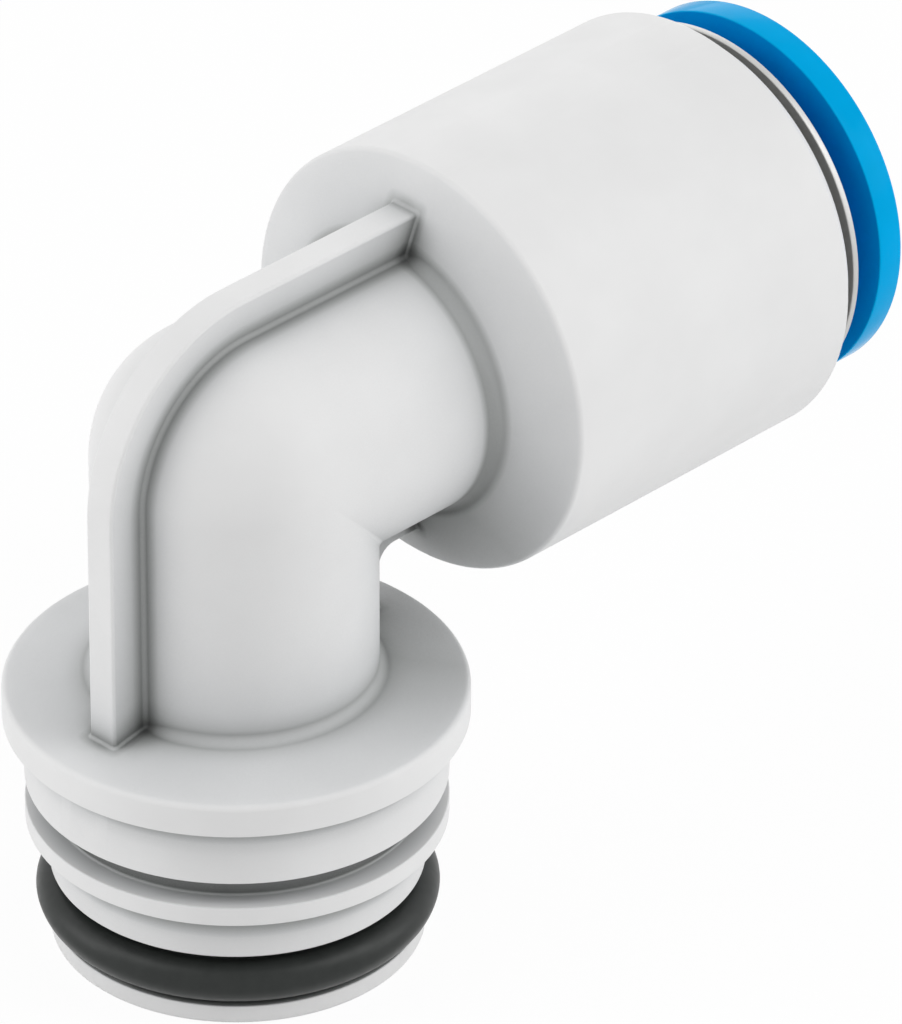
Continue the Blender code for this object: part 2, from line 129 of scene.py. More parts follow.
# Retaining sleeve
SLEEVE_RADIUS = 8.1 * MM
SLEEVE_LIP_RADIUS = SLEEVE_HIGH.y
SLEEVE_LIP_THICKNESS = 0.33 * MM
SLEEVE_BARB_HEIGHT = 0.15 * MM
SLEEVE_BARB_PITCH = 1.2 * MM
SLEEVE_BARB_COUNT = 3
SLEEVE_LEAD_LENGTH = 1.5 * MM
SLEEVE_CONE_DEPTH = 0.7 * MM
SLEEVE_THROAT_RADIUS = 7.0 * MM
CAM_SLOPE = 0.25

# Release ring
RUNNING_GAP = 0.3 * MM
COLLAR_RADIUS = RING_HIGH.y
COLLAR_THICKNESS = 1.32 * MM
COLLAR_ROUND = 0.06 * MM
RING_MOUTH_CHAMFER = 0.6 * MM
SKIRT_RADIUS = 6.7 * MM
SKIRT_BEAD_PROUD = 0.5 * MM
SKIRT_END_BAR = 0.8 * MM
SKIRT_SLOT_WIDTH = 0.5 * MM
CUT_MARGIN = 1.0 * MM

# Clamping segments
SEGMENT_LENGTH = 1.8 * MM
SEGMENT_WIDTH = 2.6 * MM
SEGMENT_BITE = 0.1 * MM
SEGMENT_TOOTH_DEPTH = 0.25 * MM

# Places that follow from these
CLIP_GROOVE_TOP = -SHOULDER_LENGTH
CLIP_GROOVE_BOTTOM = CLIP_GROOVE_TOP - CLIP_GROOVE_WIDTH
COLLAR_BOTTOM = CLIP_GROOVE_BOTTOM - COLLAR_LENGTH
SEAL_GROOVE_TOP = O_RING_HIGH.z + SEAL_GROOVE_GAP
SEAL_GROOVE_BOTTOM = O_RING_LOW.z - SEAL_GROOVE_GAP
SEAL_GROOVE_RADIUS = O_RING_MEAN_RADIUS - O_RING_SECTION_RADIUS - SEAL_GROOVE_GAP
CONE_START_X = SLEEVE_LOW.x + SLEEVE_LEAD_LENGTH
CONE_END_X = CONE_START_X + SLEEVE_CONE_DEPTH / CAM_SLOPE
SKIRT_END_X = RING_LOW.x
COLLAR_FACE_X = RING_HIGH.x
WINDOW_START_X = SKIRT_END_X + SKIRT_END_BAR
SEGMENT_START_X = WINDOW_START_X + RUNNING_GAP
SEGMENT_END_X = SEGMENT_START_X + SEGMENT_LENGTH
WINDOW_END_X = SEGMENT_END_X + RUNNING_GAP

# Directions and places for the materials, and a length beyond the whole part
SOCKET_AXIS = (1.0, 0.0, 0.0)
SIDE_AXIS = (0.0, 1.0, 0.0)
SPIGOT_AXIS = (0.0, 0.0, 1.0)
ORIGIN = (0.0, 0.0, 0.0)
ELBOW_CENTRE = (0.0, 0.0, AXIS_HEIGHT)
FAR = 1.0

# Painted shade by place: how far it stays darkest, how far it reaches, and the share of light it leaves
RIB_SHADE = (0.1 * MM, 0.7 * MM, 0.63)
RIB_END_SHADE = (0.1 * MM, 0.5 * MM, 0.74)
RIB_POCKET_SHADE = (0.2 * MM, 0.6 * MM, 0.4)
BACK_SHADE = (0.35 * MM, 0.75 * MM, 0.62)
LOW_BACK_SHADE = (0.35 * MM, 0.7 * MM, 0.76)
LOW_FACE_SHADE = (4.0 * MM, 12.0 * MM, 0.91)
FOOT_SHADE = (0.3 * MM, 0.6 * MM, 0.84)
SHOULDER_SHADE = (0.62 * MM, 0.9 * MM, 0.72)
NECK_SHADE = (0.62 * MM, 1.05 * MM, 0.6)
CLIP_GROOVE_SHADE = (0.75 * MM, 1.0 * MM, 0.72)
SEAL_GROOVE_SHADE = (1.15 * MM, 1.5 * MM, 0.2)

# Painted light: the notch under the socket is deep and would come out too dark under the painted shade, so a
# share over 1 lifts it
NOTCH_LIGHT = (2.0 * MM, 7.0 * MM, 1.75)

# Where painted shade lies beside the body's edges; a squash makes steps along the axis count for more
RIB_POCKET_INSET = 0.3 * MM
RIB_POCKET_DROP = 0.15 * MM
LOW_BACK_SHIFT = 0.4 * MM
LOW_FACE_SQUASH = 4.0
LEDGE_INSET = 0.6 * MM
LEDGE_DROP = 0.4 * MM
CLIP_GROOVE_INSET = 0.4 * MM

# Painted light: the painted shade is lifted off the clip groove's lower wall, but not off the groove's floor
CLIP_WALL_LIGHT = 2.6 * MM
CLIP_WALL_LIGHT_SQUASH = 15.0

# Bores' walls: least share of light left by painted shade, and the margin within which the walls are found
BORE_SHARE = 0.75
BORE_MARGIN = 0.05 * MM

# Painted shade by openness: reach, share in the tightest corner, and the openness it runs between
WIDE_CREASE = (16.0 * MM, 0.22)
TIGHT_CREASE = (1.6 * MM, 0.3, 0.45, 0.9)
METAL_CREASE = (1.6 * MM, 0.45)
OPENNESS_SAMPLES = 6

# Tone of the plastic by the share of light that painted shade leaves: a little cooler where it is shaded
SHADE_TONES = (
    (0.0, (0.0, 0.0, 0.0)),
    (0.28, (0.270, 0.280, 0.275)),
    (0.55, (0.537, 0.550, 0.546)),
    (0.72, (0.708, 0.720, 0.727)),
    (0.88, (0.871, 0.880, 0.889)),
    (1.0, (1.0, 1.0, 1.0)),
)

# Tones of the materials, dark and pale
WHITE_TONES = ((0.79, 0.79, 0.79), (0.82, 0.82, 0.82))
# The blue's dark tone is painted shade where the ring is closed in
BLUE_SHADE_TONES = ((0.0, 0.23, 0.69), (0.0, 0.385, 0.77))
SPIGOT_RUBBER_TONES = ((0.023, 0.026, 0.0245), (0.029, 0.032, 0.0305))
SEAL_RUBBER_TONES = ((0.020, 0.020, 0.020), (0.028, 0.028, 0.028))
SUPPORT_TONES = ((0.74, 0.74, 0.715), (0.77, 0.77, 0.75))
BRASS_TONES = ((0.56, 0.56, 0.55), (0.61, 0.61, 0.60))
STEEL_TONES = ((0.60, 0.60, 0.61), (0.64, 0.64, 0.65))
FLOOR_TONES = ((0.93, 0.93, 0.93), (0.95, 0.95, 0.95))

# Finishes: features for each metre of mottle, sheen and grain, then roughness, grain strength and depth
Finish = namedtuple("Finish", "mottle sheen grain roughness strength depth")
WHITE_FINISH = Finish(260, 900, 9000, (0.52, 0.6), 0.25, 0.004 * MM)
BLUE_FINISH = Finish(400, 1200, 7000, (0.1, 0.16), 0.15, 0.003 * MM)
RUBBER_FINISH = Finish(1500, 2500, 6000, (0.34, 0.42), 0.12, 0.004 * MM)
SUPPORT_FINISH = Finish(500, 1000, 8000, (0.35, 0.45), 0.2, 0.004 * MM)
METAL_FINISH = Finish(700, 1500, 9000, (0.46, 0.54), 0.1, 0.003 * MM)
FLOOR_MOTTLE = 60

# Noise: detail by use, scale on each axis (small draws it out), and the middle that most values lie in
PLAIN_DETAIL = 3.0
GRAIN_DETAIL = 4.0
BLOOM_DETAIL = 5.0
TOOL_LINE_DETAIL = 2.0
EVEN = (1, 1, 1)
TURNED_LINES = (1, 0.02, 0.02)
STAMPED_LINES = (0.05, 1, 1)
NOISE_LOW = 0.3
NOISE_HIGH = 0.7

# Painted shade: the blue is deeper where it is closed in within a depth; it is also faintly uneven
BLUE_SHADE_REACH = 4.0 * MM
BLUE_MOTTLE = (0.97, 1.03)

# How metallic the plating and the steel look
BRASS_METALLIC = 0.7
STEEL_METALLIC = 1.0

# Meshes: fineness, and values that they share
TURN_STEPS = 144
ARC_STEPS = 5
STEM_QUARTER_STEPS = 28
FOOT_STEPS = 10
BEND_STEPS = 30
SECTION_STEPS = 48
SEGMENT_STEPS = 12
SHARP_ANGLE = math.radians(35)
MERGE_DISTANCE = 1e-8
FLAT_FACE_WEIGHT = 100
QUARTER_TURN = math.radians(90)

# Camera, as found from the edges of the spigot, the socket and the rings in the photograph
IMAGE_HEIGHT_PIXELS = 1024
FOCAL_PIXELS = 11139.8
SENSOR_MM = 36.0
CAMERA_AZIMUTH = math.radians(-45.312)
CAMERA_ELEVATION = math.radians(32.023)
CAMERA_ROLL = math.radians(0.12)
CAMERA_DISTANCE = 475.45 * MM
CAMERA_TARGET = Vector((12.845 * MM, 0.0, 3.928 * MM))
NEAR_CLIP = 10 * MM
FAR_CLIP = 100.0

# Studio: the floor gives back a little less light than it shows, and shows mostly plain white
FLOOR_SIZE = 4.0
FLOOR_CELLS = 8
FLOOR_DROP = 0.05 * MM
FLOOR_BOUNCE = 0.97
FLOOR_GLOW = 0.95
LAMP_DISTANCE = 0.6
LAMP_SIZE = 0.3
SKY_LEVEL = 0.575

# Lamps by name: how far towards the camera's right, upwards and towards the camera, and brightness
LAMPS = {
    "right_lamp": (1.0, 0.3, 0.0, 2.0),
    "left_lamp": (-1.0, 0.3, 0.0, 2.2),
    "back_lamp": (0.0, 0.3, -1.0, 1.4),
    "high_right_lamp": (1.0, 1.0, 0.3, 2.8),
    "high_left_lamp": (-1.0, 1.0, 0.3, 2.25),
}

Column = namedtuple("Column", "u y normal_u normal_y foot angle")


# Mesh helpers

def add_loops(bm, loops, closed):
    """Join neighbouring loops of points with quads; an open stack gets a cap at each end."""
    rings = [[bm.verts.new(point) for point in loop] for loop in loops]
    count = len(rings[0])
    pairs = list(zip(rings, rings[1:]))
    if closed:
        pairs.append((rings[-1], rings[0]))
    for ring, following in pairs:
        for k in range(count):
            after = (k + 1) % count
            bm.faces.new((ring[k], ring[after], following[after], following[k]))
    if not closed:
        bm.faces.new(rings[0])
        bm.faces.new(rings[-1])


def finish_mesh(name, bm):
    """Merge, turn the faces outwards and shade the round faces smooth."""
    bmesh.ops.remove_doubles(bm, verts=bm.verts, dist=MERGE_DISTANCE)
    bmesh.ops.recalc_face_normals(bm, faces=bm.faces)
    if bm.calc_volume(signed=True) < 0:
        bmesh.ops.reverse_faces(bm, faces=bm.faces)
    mesh = bpy.data.meshes.new(name)
    bm.to_mesh(mesh)
    bm.free()
    mesh.shade_smooth()
    mesh.set_sharp_from_angle(angle=SHARP_ANGLE)
    return mesh


def add_object(name, data):
    """A mesh, camera or lamp as an object of the scene."""
    item = bpy.data.objects.new(name, data)
    bpy.context.scene.collection.objects.link(item)
    return item


def weigh_normals(item):
    """Keep flat faces flat to the eye beside their small rounded edges."""
    weighted = item.modifiers.new("weighted_normals", "WEIGHTED_NORMAL")
    weighted.keep_sharp = True
    weighted.weight = FLAT_FACE_WEIGHT


def add_piece(name, mesh, material, slot, body, *nodes):
    """A visible piece that stands for CAD nodes and rides on their body."""
    mesh.materials.append(material)
    item = add_object(name, mesh)
    weigh_normals(item)
    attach(item, body)
    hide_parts(*nodes)


def rounded(corners, closed=False):
    """Outline of (a, b, radius) corners, each rounded by its own radius; open ends stay as they are."""
    points = []
    count = len(corners)
    for index, (a, b, radius) in enumerate(corners):
        at_end = not closed and index in (0, count - 1)
        if at_end or radius == 0:
            points.append((a, b))
            continue
        here = Vector((a, b))
        back = (Vector(corners[index - 1][:2]) - here).normalized()
        ahead = (Vector(corners[(index + 1) % count][:2]) - here).normalized()
        half = back.angle(ahead) / 2
        centre = here + (back + ahead).normalized() * radius / math.sin(half)
        start = here + back * radius / math.tan(half) - centre
        end = here + ahead * radius / math.tan(half) - centre
        first = math.atan2(start.y, start.x)
        turn = math.atan2(start.x * end.y - start.y * end.x, start.dot(end))
        for step in range(ARC_STEPS + 1):
            angle = first + turn * step / ARC_STEPS
            points.append((centre.x + radius * math.cos(angle), centre.y + radius * math.sin(angle)))
    return points


def arc(centre, radius, start, end, steps):
    """Points on an arc, angles in degrees, both ends included."""
    points = []
    for step in range(steps + 1):
        angle = math.radians(start + (end - start) * step / steps)
        points.append((centre[0] + radius * math.cos(angle), centre[1] + radius * math.sin(angle)))
    return points


def upright(u, y, z):
    """Place on the spigot or the stem; u points to the inside of the bend."""
    return Vector((u, y, z))


def level(u, y, x):
    """The same on the socket, whose axis is level."""
    return Vector((x, y, AXIS_HEIGHT - u))


def around(place, angle, outline):
    """One column's points on a turned outline of (radius, station)."""
    return [place(r * math.cos(angle), r * math.sin(angle), station) for r, station in outline]


def turned_mesh(name, place, outline):
    """Turn a closed outline of (radius, station) points about the spigot's or the socket's axis."""
    bm = bmesh.new()
    angles = [math.tau * step / TURN_STEPS for step in range(TURN_STEPS)]
    add_loops(bm, [around(place, angle, outline) for angle in angles], closed=True)
    return finish_mesh(name, bm)


# Elbow body

def stem_quarter():
    """Points and outward normals of a quarter of the ribbed stem's section, from its side to the rib."""
    half = RIB_THICKNESS / 2
    root_y = half + RIB_ROOT_ROUND
    root_u = math.sqrt((STEM_RADIUS + RIB_ROOT_ROUND) ** 2 - root_y ** 2)
    root_angle = math.degrees(math.atan2(root_y, root_u))
    quarter = []
    for step in range(STEM_QUARTER_STEPS + 1):
        share = step / STEM_QUARTER_STEPS
        angle = math.radians(90 + (root_angle - 90) * share)
        normal = (math.cos(angle), math.sin(angle))
        foot = STEM_FOOT_ROUND + (RIB_FOOT_ROUND - STEM_FOOT_ROUND) * share ** FOOT_BLEND_POWER
        quarter.append((STEM_RADIUS * normal[0], STEM_RADIUS * normal[1], *normal, foot))
    for u, y in arc((root_u, root_y), RIB_ROOT_ROUND, 180 + root_angle, 270, FOOT_STEPS)[1:]:
        normal = ((root_u - u) / RIB_ROOT_ROUND, (root_y - y) / RIB_ROOT_ROUND)
        quarter.append((u, y, *normal, RIB_FOOT_ROUND))
    edge = (RIB_REACH - RIB_EDGE_ROUND, half - RIB_EDGE_ROUND)
    for u, y in arc(edge, RIB_EDGE_ROUND, 90, 0, ARC_STEPS):
        normal = ((u - edge[0]) / RIB_EDGE_ROUND, (y - edge[1]) / RIB_EDGE_ROUND)
        quarter.append((u, y, *normal, RIB_FOOT_ROUND))
    quarter.append((RIB_REACH, 0.0, 1.0, 0.0, RIB_FOOT_ROUND))
    return quarter


def stem_columns():
    """The section all the way round, starting at the inner rib; u points to the inside of the bend."""
    quarter = stem_quarter()
    back = quarter[::-1]
    turns = ((back, 1, 1), (quarter[1:], -1, 1), (back[1:], -1, -1), (quarter[1:-1], 1, -1))
    columns = []
    for points, side_u, side_y in turns:
        for u, y, normal_u, normal_y, foot in points:
            u, y, normal_u, normal_y = u * side_u, y * side_y, normal_u * side_u, normal_y * side_y
            angle = math.atan2(y + normal_y * foot, u + normal_u * foot)
            columns.append(Column(u, y, normal_u, normal_y, foot, angle))
    return columns


def flange_top(radius):
    """Height of the flange's crowned top at a radius."""
    share = (FLANGE_RADIUS - radius) / (FLANGE_RADIUS - STEM_RADIUS)
    return FLANGE_RIM_HEIGHT + FLANGE_CROWN * share


def socket_back(radius):
    """Place along the axis of the socket's crowned back at a radius."""
    share = (SOCKET_RADIUS - radius) / (SOCKET_RADIUS - STEM_RADIUS)
    return SOCKET_BACK_REACH - SOCKET_BACK_CROWN * share


def spigot_outline():
    """Outside of the spigot from the middle of its end face up to the flange's top."""
    low = SPIGOT_BOTTOM
    inner = FLANGE_RADIUS - 2 * FLANGE_ROUND
    corners = [((SPIGOT_BORE_RADIUS + NECK_RADIUS) / 2, low, 0), (NECK_RADIUS, low, LIP_ROUND)]
    corners += [(NECK_RADIUS, SEAL_GROOVE_BOTTOM, MOULD_EDGE)]
    corners += [(SEAL_GROOVE_RADIUS, SEAL_GROOVE_BOTTOM, MOULD_CORNER)]
    corners += [(SEAL_GROOVE_RADIUS, SEAL_GROOVE_TOP, MOULD_CORNER)]
    corners += [(NECK_RADIUS, SEAL_GROOVE_TOP, MOULD_EDGE), (NECK_RADIUS, COLLAR_BOTTOM, MOULD_CORNER)]
    corners += [(SPIGOT_RADIUS, COLLAR_BOTTOM, MOULD_EDGE), (SPIGOT_RADIUS, CLIP_GROOVE_BOTTOM, MOULD_EDGE)]
    corners += [(CLIP_GROOVE_RADIUS, CLIP_GROOVE_BOTTOM, MOULD_CORNER)]
    corners += [(CLIP_GROOVE_RADIUS, CLIP_GROOVE_TOP, MOULD_CORNER)]
    corners += [(SPIGOT_RADIUS, CLIP_GROOVE_TOP, MOULD_EDGE)]
    corners += [(SPIGOT_RADIUS, FLANGE_UNDERSIDE, MOULD_CORNER)]
    corners += [(FLANGE_RADIUS, FLANGE_UNDERSIDE, MOULD_EDGE)]
    corners += [(FLANGE_RADIUS, FLANGE_RIM_HEIGHT, FLANGE_ROUND)]
    corners += [(inner, flange_top(inner), 0)]
    return rounded(corners)


def socket_outline():
    """Outside of the socket from its back rim to the mouth, then inside to the tube stop."""
    inner = SOCKET_RADIUS - 2 * SOCKET_BACK_ROUND
    corners = [(inner, socket_back(inner), 0), (SOCKET_RADIUS, SOCKET_BACK_REACH, SOCKET_BACK_ROUND)]
    corners += [(SOCKET_RADIUS, MOUTH_X - SOCKET_MOUTH_CHAMFER_LENGTH, MOULD_EDGE)]
    corners += [(SOCKET_RADIUS - SOCKET_MOUTH_CHAMFER_DEPTH, MOUTH_X, MOULD_EDGE)]
    corners += [(CHAMBER_RADIUS, MOUTH_X, MOULD_EDGE)]
    corners += [(CHAMBER_RADIUS, SEAL_SHOULDER_X, MOULD_CORNER)]
    corners += [(TUBE_POCKET_RADIUS, SEAL_SHOULDER_X, MOULD_EDGE)]
    corners += [(TUBE_POCKET_RADIUS, TUBE_STOP_X, MOULD_CORNER), (FLOW_BORE_RADIUS, TUBE_STOP_X, MOULD_EDGE)]
    corners += [(FLOW_BORE_RADIUS, TUBE_STOP_X - 2 * MOULD_EDGE, 0)]
    return rounded(corners)


def bore_outline():
    """Inside of the spigot from the elbow down to the rounded edge of its end."""
    low = SPIGOT_BOTTOM
    corners = [(FLOW_BORE_RADIUS, SPIGOT_BORE_TAPER, 0), (FLOW_BORE_RADIUS, 0.0, SPIGOT_BORE_TAPER / 2)]
    corners += [(SPIGOT_BORE_RADIUS, -SPIGOT_BORE_TAPER, SPIGOT_BORE_TAPER / 2)]
    corners += [(SPIGOT_BORE_RADIUS, low, SPIGOT_BORE_ROUND), (NECK_RADIUS, low, 0)]
    return rounded(corners)[:-1]


def foot_points(column, place, surface, direction):
    """Fillet of one column from a crowned face onto the stem."""
    points = []
    for step in range(FOOT_STEPS + 1):
        angle = QUARTER_TURN * step / FOOT_STEPS
        out = column.foot * (1 - math.sin(angle))
        rise = column.foot * (1 - math.cos(angle))
        u = column.u + column.normal_u * out
        y = column.y + column.normal_y * out
        points.append(place(u, y, surface(math.hypot(u, y)) + direction * rise))
    return points


def bend_points(u, y, inner_round):
    """One column's way round the corner: on a ball outside the axis, in a rounded mitre inside it."""
    points = []
    for step in range(BEND_STEPS + 1):
        angle = QUARTER_TURN * step / BEND_STEPS
        if u <= 0:
            x = u * math.cos(angle)
            z = AXIS_HEIGHT - u * math.sin(angle)
        else:
            x = u + inner_round * (1 - math.cos(angle))
            z = AXIS_HEIGHT - u - inner_round * (1 - math.sin(angle))
        points.append(Vector((x, y, z)))
    return points


def crease_round(u):
    """Rounding of the inner corner: none at the side, slight on the stem, larger along the rib."""
    if u <= STEM_RADIUS:
        return ELBOW_CREASE_ROUND * u / STEM_RADIUS
    share = (u - STEM_RADIUS) / (RIB_REACH - STEM_RADIUS)
    return ELBOW_CREASE_ROUND + (RIB_CORNER_ROUND - ELBOW_CREASE_ROUND) * share


def body_column(column):
    """All the points of one column: up the outside, along the socket, and back through the bore."""
    bore_u = FLOW_BORE_RADIUS * math.cos(column.angle)
    bore_y = FLOW_BORE_RADIUS * math.sin(column.angle)
    points = around(upright, column.angle, spigot_outline())
    points += foot_points(column, upright, flange_top, 1)
    points += bend_points(column.u, column.y, crease_round(column.u))
    points += foot_points(column, level, socket_back, -1)[::-1]
    points += around(level, column.angle, socket_outline())
    points += bend_points(bore_u, bore_y, crease_round(bore_u))[::-1]
    points += around(upright, column.angle, bore_outline())
    return points


def make_elbow_moulding(material):
    """The elbow as one closed skin, column by column round the stem's section."""
    bm = bmesh.new()
    add_loops(bm, [body_column(column) for column in stem_columns()], closed=True)
    mesh = finish_mesh("elbow_moulding", bm)
    add_piece("elbow_moulding", mesh, material, "white_plastic", "fitting_body", "elbow_body")


# Rings in the fitting

def make_spigot_seal(material):
    """O-ring with the faint flash line that its mould leaves round the outside and the inside."""
    middle = O_RING_MEAN_RADIUS - O_RING_SQUEEZE
    height = O_RING_HEIGHT - O_RING_SAG
    outline = []
    for step in range(SECTION_STEPS):
        angle = math.tau * step / SECTION_STEPS
        flash = O_RING_FLASH * abs(math.cos(angle)) ** O_RING_FLASH_POWER
        radius = O_RING_SECTION_RADIUS - O_RING_FLASH + flash
        outline.append((middle + radius * math.cos(angle), height + radius * math.sin(angle)))
    mesh = turned_mesh("spigot_seal", upright, outline)
    add_piece("spigot_seal", mesh, material, "spigot_rubber", "fitting_body", "spigot_o_ring")


def make_tube_seal(material):
    """Cupped seal whose inner lip is a little smaller than the tube."""
    lip = TUBE_RADIUS - SEAL_LIP_BITE
    start = SEAL_LOW.x
    end = SEAL_HIGH.x
    groove_x = start + SEAL_GROOVE_DEPTH
    edge = SEAL_EDGE
    corners = [(SEAL_RADIUS, start, edge), (SEAL_RADIUS, end, edge), (TUBE_POCKET_RADIUS, end, edge)]
    corners += [(TUBE_POCKET_RADIUS, groove_x, edge), (lip, start + SEAL_LIP_THICKNESS, edge)]
    corners += [(lip + SEAL_LIP_THICKNESS, start, edge)]
    corners += [((TUBE_POCKET_RADIUS + SEAL_RADIUS) / 2, groove_x, edge)]
    corners += [(SEAL_RADIUS - SEAL_LIP_THICKNESS, start, edge)]
    mesh = turned_mesh("tube_seal", level, rounded(corners, closed=True))
    add_piece("tube_seal", mesh, material, "seal_rubber", "fitting_body", "tube_seal_ring")


def make_seal_backing_ring(material):
    """Plain ring between the seal and the clamp."""
    start = SUPPORT_LOW.x
    end = SUPPORT_HIGH.x
    corners = [(SEAL_RADIUS, start, MOULD_EDGE), (SEAL_RADIUS, end, MOULD_EDGE)]
    corners += [(TUBE_POCKET_RADIUS, end, MOULD_EDGE), (TUBE_POCKET_RADIUS, start, MOULD_EDGE)]
    mesh = turned_mesh("seal_backing_ring", level, rounded(corners, closed=True))
    add_piece("seal_backing_ring", mesh, material, "support_plastic", "fitting_body",
              "seal_support_ring")


def make_turned_sleeve(material):
    """Barbed sleeve with a thin lip outside the mouth and a cone inside that closes the clamp."""
    valley = SLEEVE_RADIUS - SLEEVE_BARB_HEIGHT
    bore = SLEEVE_THROAT_RADIUS + SLEEVE_CONE_DEPTH
    start = SLEEVE_LOW.x
    end = SLEEVE_HIGH.x
    lip_x = end - SLEEVE_LIP_THICKNESS
    edge = TURNED_EDGE
    corners = [(valley, start, edge)]
    for barb in range(SLEEVE_BARB_COUNT):
        crest_x = start + SLEEVE_BARB_PITCH * (barb + 1)
        corners += [(SLEEVE_RADIUS, crest_x, edge / 2), (valley, crest_x, edge / 2)]
    corners += [(valley, lip_x, edge), (SLEEVE_LIP_RADIUS, lip_x, edge), (SLEEVE_LIP_RADIUS, end, edge)]
    corners += [(SLEEVE_THROAT_RADIUS, end, edge), (SLEEVE_THROAT_RADIUS, CONE_END_X, edge)]
    corners += [(bore, CONE_START_X, edge), (bore, start, edge)]
    mesh = turned_mesh("turned_sleeve", level, rounded(corners, closed=True))
    add_piece("turned_sleeve", mesh, material, "plated_brass", "fitting_body", "retaining_sleeve")


# Release ring and clamping segments

def segment_angle(index):
    """Turn of a segment about the socket's axis, half a step on from the top."""
    return math.tau * (index + 0.5) / SEGMENT_COUNT


def add_radial_box(bm, angle, start_x, end_x, width):
    """Box that cuts through the skirt's wall, centred on a radial direction."""
    low = TUBE_POCKET_RADIUS - CUT_MARGIN
    high = SKIRT_RADIUS + SKIRT_BEAD_PROUD + CUT_MARGIN
    turn = Matrix.Rotation(angle, 3, "X")
    lift = Vector(ELBOW_CENTRE)
    loops = []
    for x in (start_x, end_x):
        corners = ((-width / 2, low), (width / 2, low), (width / 2, high), (-width / 2, high))
        loops.append([turn @ Vector((x, y, z)) + lift for y, z in corners])
    add_loops(bm, loops, closed=False)


def make_skirt_cutter():
    """Windows for the segments, and slots that let the skirt spring in between them."""
    bm = bmesh.new()
    for index in range(SEGMENT_COUNT):
        angle = segment_angle(index)
        between = angle + math.pi / SEGMENT_COUNT
        add_radial_box(bm, angle, WINDOW_START_X, WINDOW_END_X, SEGMENT_WIDTH + 2 * RUNNING_GAP)
        add_radial_box(bm, between, SKIRT_END_X - CUT_MARGIN, WINDOW_END_X + SKIRT_END_BAR, SKIRT_SLOT_WIDTH)
    return add_object("skirt_cutter", finish_mesh("skirt_cutter", bm))


def cut_mesh(name, mesh, cutter):
    """The mesh with the cutter taken out of it, shaded like the rest."""
    blank = add_object(name + "_blank", mesh)
    cut = blank.modifiers.new("cut", "BOOLEAN")
    cut.operation = "DIFFERENCE"
    cut.solver = "EXACT"
    cut.object = cutter
    shown = blank.evaluated_get(bpy.context.evaluated_depsgraph_get())
    result = bpy.data.meshes.new_from_object(shown)
    for used in (blank, cutter):
        bpy.data.objects.remove(used, do_unlink=True)
    result.shade_smooth()
    result.set_sharp_from_angle(angle=SHARP_ANGLE)
    return result


def make_release_button(material):
    """Collar outside the mouth, and a slotted skirt that runs in the sleeve."""
    bead = SKIRT_RADIUS + SKIRT_BEAD_PROUD
    back_x = COLLAR_FACE_X - COLLAR_THICKNESS
    edge = MOULD_EDGE
    corners = [(TUBE_POCKET_RADIUS, SKIRT_END_X, edge), (SKIRT_RADIUS, SKIRT_END_X, edge)]
    corners += [(bead, SKIRT_END_X + SKIRT_BEAD_PROUD, edge / 2), (bead, WINDOW_START_X, edge / 2)]
    corners += [(SKIRT_RADIUS, WINDOW_START_X, edge), (SKIRT_RADIUS, back_x, edge)]
    corners += [(COLLAR_RADIUS, back_x, COLLAR_ROUND), (COLLAR_RADIUS, COLLAR_FACE_X, COLLAR_ROUND)]
    corners += [(TUBE_POCKET_RADIUS + RING_MOUTH_CHAMFER, COLLAR_FACE_X, RING_MOUTH_CHAMFER / 2)]
    corners += [(TUBE_POCKET_RADIUS, COLLAR_FACE_X - RING_MOUTH_CHAMFER, RING_MOUTH_CHAMFER / 2)]
    whole = turned_mesh("release_button", level, rounded(corners, closed=True))
    mesh = cut_mesh("release_button", whole, make_skirt_cutter())
    add_piece("release_button", mesh, material, "blue_plastic", "release_ring", "release_ring")


def segment_section():
    """Outline of a segment along the socket: a slope that rides the cone, and biting teeth below."""
    def under_cone(x):
        return SLEEVE_THROAT_RADIUS + CAM_SLOPE * (CONE_END_X - x) - RUNNING_GAP

    tip = TUBE_RADIUS - SEGMENT_BITE
    valley = tip + SEGMENT_TOOTH_DEPTH
    middle = (SEGMENT_START_X + SEGMENT_END_X) / 2
    corners = [(SEGMENT_START_X, under_cone(SEGMENT_START_X), STAMPED_EDGE)]
    corners += [(SEGMENT_END_X, under_cone(SEGMENT_END_X), STAMPED_EDGE)]
    corners += [(SEGMENT_END_X, valley, STAMPED_EDGE)]
    corners += [(middle, tip, 0), (middle, valley, 0), (SEGMENT_START_X, tip, 0)]
    return rounded(corners, closed=True)


def make_grip_segment(index, material):
    """One stamped segment, curved to the tube, in its window of the release ring's skirt."""
    bm = bmesh.new()
    turn = Matrix.Rotation(segment_angle(index), 3, "X")
    lift = Vector(ELBOW_CENTRE)
    loops = []
    for step in range(SEGMENT_STEPS + 1):
        y = SEGMENT_WIDTH * (step / SEGMENT_STEPS - 0.5)
        loops.append([turn @ Vector((x, y, math.sqrt(r * r - y * y))) + lift for x, r in segment_section()])
    add_loops(bm, loops, closed=False)
    name = f"grip_segment_{index + 1}"
    node = f"clamping_segment_{index + 1}"
    add_piece(name, finish_mesh(name, bm), material, "segment_steel", node, node)


# Materials

def add_node(tree, kind, inputs=None, **settings):
    """A node with its settings, and with values or links on its inputs."""
    node = tree.nodes.new(kind)
    for name, value in settings.items():
        setattr(node, name, value)
    for name, value in (inputs or {}).items():
        if isinstance(value, bpy.types.NodeSocket):
            tree.links.new(value, node.inputs[name])
        else:
            node.inputs[name].default_value = value
    return node


def new_material(name, **constants):
    """A material with a Principled shader; constants name sockets with _ for a space."""
    material = bpy.data.materials.new(name)
    material.use_nodes = True
    tree = material.node_tree
    shader = tree.nodes["Principled BSDF"]
    for socket, value in constants.items():
        shader.inputs[socket.replace("_", " ")].default_value = value
    return material, tree, shader


